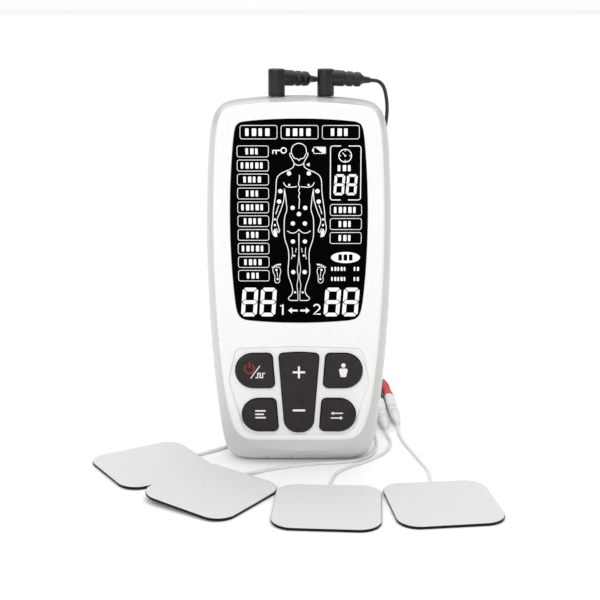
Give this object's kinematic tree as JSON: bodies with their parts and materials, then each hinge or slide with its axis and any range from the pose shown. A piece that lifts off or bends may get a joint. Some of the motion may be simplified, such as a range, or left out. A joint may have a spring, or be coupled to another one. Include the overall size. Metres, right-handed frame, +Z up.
{
  "type": "tens unit",
  "caption": "Upright nerve stimulator with segment display, rubber keypad, plugged leads and square electrode pads.",
  "frame": {"origin": "middle of the unit's flat foot, on the surface that it stands on", "axes": "+Z up along the unit's height, +Y towards its back, so the display and keys face -Y, and +X to the right of someone who faces the display"},
  "size_m": [0.1509, 0.172, 0.1494],
  "materials": {
    "housing": "pearl white, satin gloss",
    "window": "glossy black, printed behind",
    "lcd": "polished",
    "light_guide": "frosted",
    "elastomer": "matt",
    "board": "solder mask",
    "key_rubber": "satin dark brown",
    "mat_silicone": "matt",
    "screw_steel": "zinc plated",
    "jack": "moulded",
    "transformer": "taped winding",
    "chip": "moulded epoxy",
    "cell": "plain printed jacket",
    "contact": "nickel plated",
    "plug": "soft black PVC",
    "plug_metal": "plated",
    "pin_red": "soft red PVC",
    "socket": "soft white PVC",
    "lead": "satin PVC jacket",
    "pigtail": "satin PVC jacket",
    "pad": "non-woven cloth over black carbon film and gel"
  },
  "bodies": {
    "root": {"front_housing": "housing", "rear_housing": "housing", "housing_screw_1": "screw_steel", "housing_screw_2": "screw_steel", "housing_screw_3": "screw_steel", "housing_screw_4": "screw_steel", "display_window": "window", "lcd_panel": "lcd", "lcd_light_guide": "light_guide", "lcd_connector": "elastomer", "main_board": "board", "keypad_mat": "mat_silicone", "controller_chip": "chip", "pulse_transformer_a": "transformer", "pulse_transformer_b": "transformer", "output_jack_a": "jack", "output_jack_b": "jack", "battery_cell_1": "cell", "battery_cell_2": "cell", "battery_cell_3": "cell", "battery_contact_positive": "contact", "battery_contact_negative": "contact", "battery_link_lower": "contact", "battery_link_upper": "contact", "lead_a_plug": "plug", "lead_b_plug": "plug", "lead_a_plug_pin": "plug_metal", "lead_b_plug_pin": "plug_metal", "lead_a_cord": "lead", "lead_b_cord": "lead", "lead_a_coil": "lead", "lead_b_coil": "lead", "lead_a_splitter": "plug", "lead_b_splitter": "plug", "branch_1_cord": "lead", "branch_2_cord": "lead", "branch_3_cord": "lead", "branch_4_cord": "lead", "pin_plug_1": "pin_red", "pin_plug_2": "plug", "pin_plug_3": "plug", "pin_plug_4": "pin_red", "pad_1_socket": "socket", "pad_2_socket": "socket", "pad_3_socket": "socket", "pad_4_socket": "socket", "pad_1_wire": "pigtail", "pad_2_wire": "pigtail", "pad_3_wire": "pigtail", "pad_4_wire": "pigtail", "pad_1": "pad", "pad_2": "pad", "pad_3": "pad", "pad_4": "pad"},
    "power_mode_key": {"power_mode_key": "key_rubber"},
    "program_key": {"program_key": "key_rubber"},
    "body_key": {"body_key": "key_rubber"},
    "channel_key": {"channel_key": "key_rubber"},
    "rocker": {"intensity_rocker": "key_rubber"},
    "door": {"battery_door": "housing"}
  },
  "joints": [
    {"name": "power_mode_press", "type": "slide", "parent": "root", "child": "power_mode_key", "axis": [0, 1, 0], "range_m": [0, 0.0008], "stiffness_N_per_m": 400},
    {"name": "program_press", "type": "slide", "parent": "root", "child": "program_key", "axis": [0, 1, 0], "range_m": [0, 0.0008], "stiffness_N_per_m": 400},
    {"name": "body_press", "type": "slide", "parent": "root", "child": "body_key", "axis": [0, 1, 0], "range_m": [0, 0.0008], "stiffness_N_per_m": 400},
    {"name": "channel_press", "type": "slide", "parent": "root", "child": "channel_key", "axis": [0, 1, 0], "range_m": [0, 0.0008], "stiffness_N_per_m": 400},
    {"name": "rocker_tilt", "type": "hinge", "parent": "root", "child": "rocker", "pos_m": [0, -0.0105, 0.0295], "axis": [1, 0, 0], "range_deg": [-2.5, 2.5], "stiffness_Nm_per_rad": 0.3},
    {"name": "door_hinge", "type": "hinge", "parent": "root", "child": "door", "pos_m": [0, 0.0124, 0.0101], "axis": [-1, 0, 0], "range_deg": [0, 70]}
  ]
}
